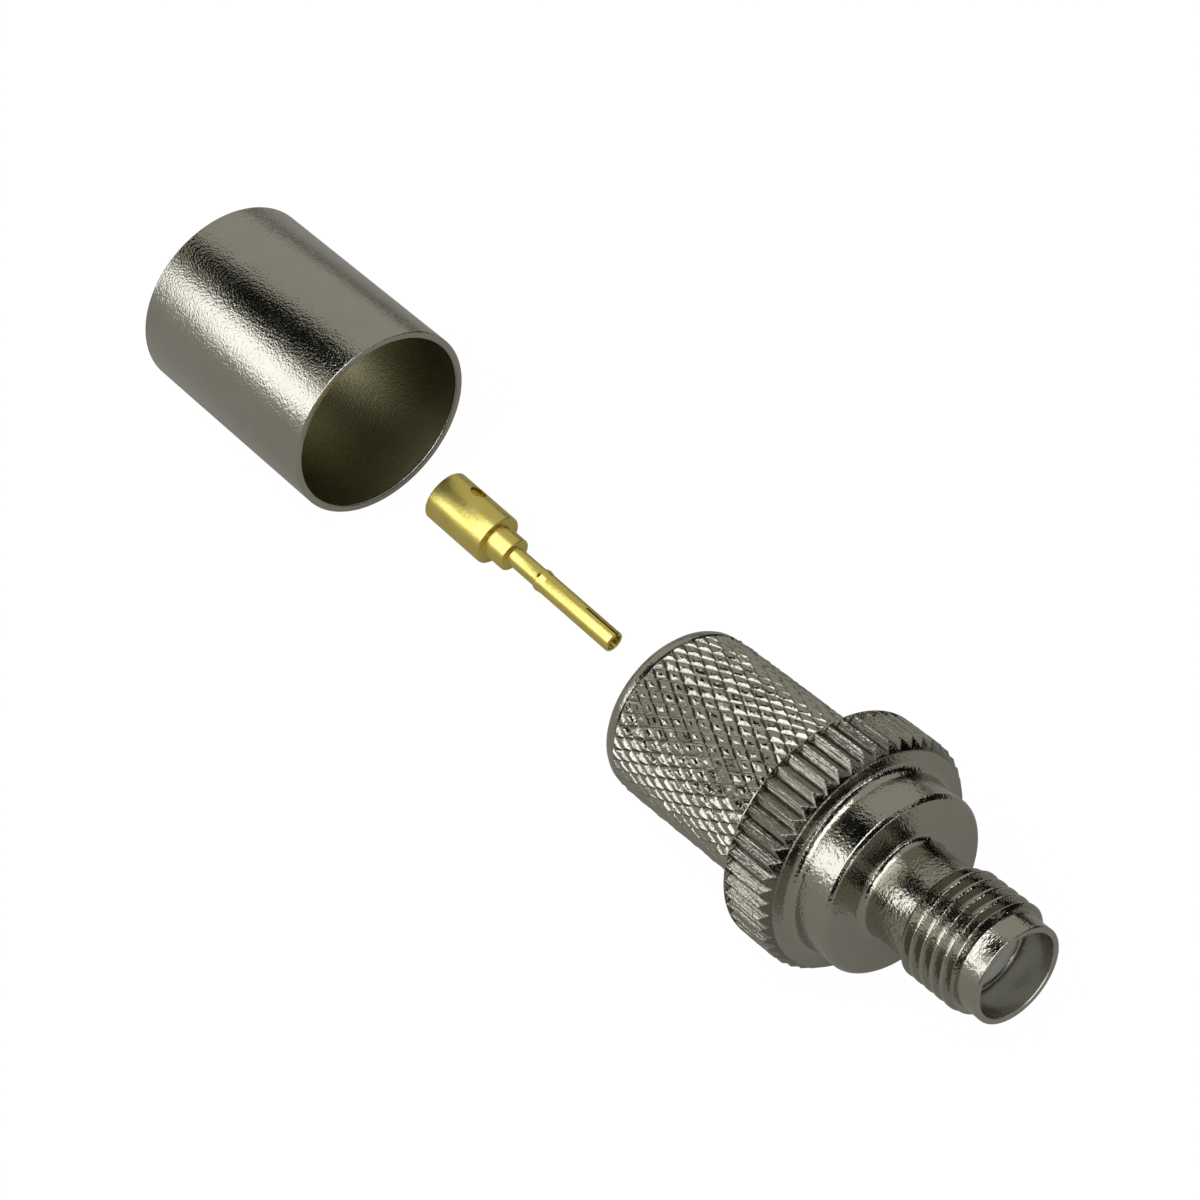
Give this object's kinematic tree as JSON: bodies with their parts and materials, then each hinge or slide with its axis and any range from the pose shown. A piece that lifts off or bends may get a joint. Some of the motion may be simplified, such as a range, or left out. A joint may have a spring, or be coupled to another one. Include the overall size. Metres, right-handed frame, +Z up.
{
  "type": "sma crimp connector",
  "caption": "Straight crimp jack for a coaxial cable as a kit: a turned body with knurled stem, fluted collar and threaded nose, a slotted socket contact and a crimp ferrule.",
  "frame": {"origin": "centre of the kit's footprint, on the surface that it lies on", "axes": "+Z up; +X along the floor in the direction that the body's mating end points; +Y to the left of it"},
  "size_m": [0.0672, 0.0138, 0.0136],
  "materials": {
    "nickel_plate": "nickel-plated brass, semi-bright",
    "white_insulator": "matt white fluoropolymer",
    "gold_plate": "gold-plated, semi-bright",
    "ferrule_plate": "nickel-plated copper alloy, semi-bright, fine grain"
  },
  "bodies": {
    "root": {"connector_body": "nickel_plate", "insulator": "white_insulator", "contact": "gold_plate", "crimp_ferrule": "ferrule_plate"}
  },
  "joints": []
}
